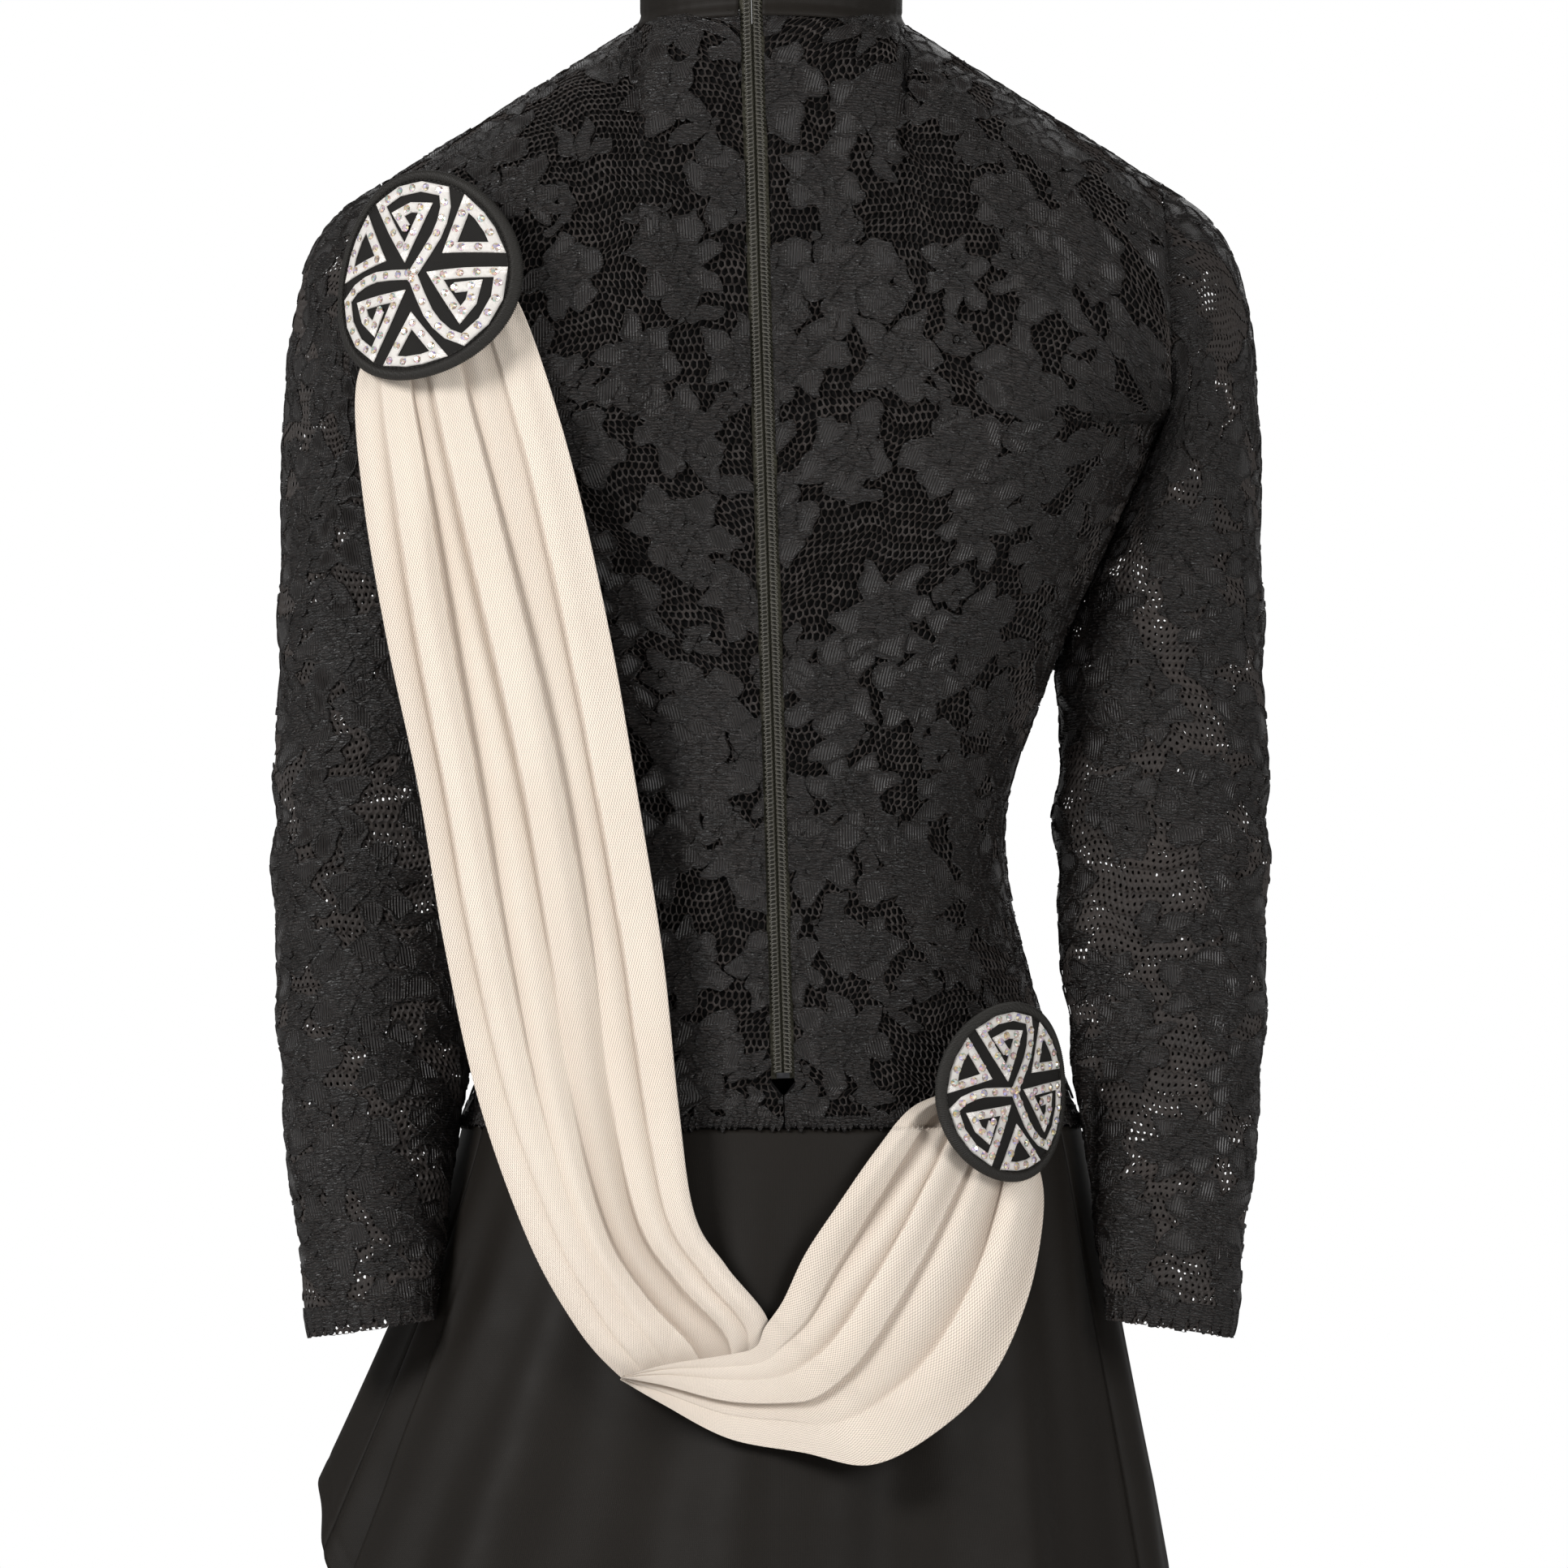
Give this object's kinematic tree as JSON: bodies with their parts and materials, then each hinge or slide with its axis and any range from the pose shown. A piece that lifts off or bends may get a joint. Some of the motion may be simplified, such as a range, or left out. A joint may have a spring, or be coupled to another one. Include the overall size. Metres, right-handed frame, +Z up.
{
  "type": "cheer uniform",
  "caption": "Black long-sleeved stretch-lace performance dress with a back zip, flared skirt and a white mesh sash between two round embroidered patches.",
  "frame": {"origin": "centre of the neck seam at nape height", "axes": "+Z up, -Y out of the wearer's back through the zip, +X to the wearer's right"},
  "size_m": [0.5006, 0.2963, 0.8884],
  "materials": {
    "lace": "stretch lace, matte with a slight glint",
    "lining": "matte knit",
    "jersey": "matte-satin stretch knit",
    "zip_tape": "woven tape",
    "zip_coil": "satin nylon coil",
    "zip_metal": "black enamel",
    "elastic": "knitted elastic",
    "mesh": "fine white power mesh, slightly sheer",
    "twill": "black twill",
    "merrow": "black merrowed thread",
    "stitching": "white satin-stitch thread",
    "crystal": "faceted, iridescent coating"
  },
  "bodies": {
    "garment": {"back_lace_left": "lace", "back_lace_right": "lace", "front_lace": "lace", "sleeve_left": "lace", "sleeve_right": "lace", "cuff_hem_left": "lace", "cuff_hem_right": "lace", "back_lining_left": "lining", "back_lining_right": "lining", "front_lining": "lining", "stand_collar": "jersey", "skirt_back": "jersey", "skirt_front": "jersey", "skirt_side_left": "jersey", "skirt_side_right": "jersey", "waist_stay": "elastic", "sash": "mesh", "zip_tape_left": "zip_tape", "zip_tape_right": "zip_tape", "zip_coil_left": "zip_coil", "zip_coil_right": "zip_coil", "zip_top_stop_left": "zip_metal", "zip_top_stop_right": "zip_metal", "zip_bottom_stop": "zip_metal", "shoulder_patch_backing": "twill", "shoulder_patch_rim": "merrow", "shoulder_patch_motif": "stitching", "shoulder_patch_triangle_a": "stitching", "shoulder_patch_triangle_b": "stitching", "shoulder_patch_triangle_c": "stitching", "hip_patch_backing": "twill", "hip_patch_rim": "merrow", "hip_patch_motif": "stitching", "hip_patch_triangle_a": "stitching", "hip_patch_triangle_b": "stitching", "hip_patch_triangle_c": "stitching"},
    "zip_slider": {"zip_slider": "zip_metal"},
    "zip_pull": {"zip_pull": "zip_metal"}
  },
  "joints": [
    {"name": "zip_travel", "type": "slide", "parent": "garment", "child": "zip_slider", "axis": [0.0296, -0.0797, -0.9964], "range_m": [0, 0.555]},
    {"name": "pull_swing", "type": "hinge", "parent": "zip_slider", "child": "zip_pull", "pos_m": [-0.01082, -0.06013, 0.0342], "axis": [-0.9996, 0, -0.0297], "range_deg": [0, 170]}
  ]
}
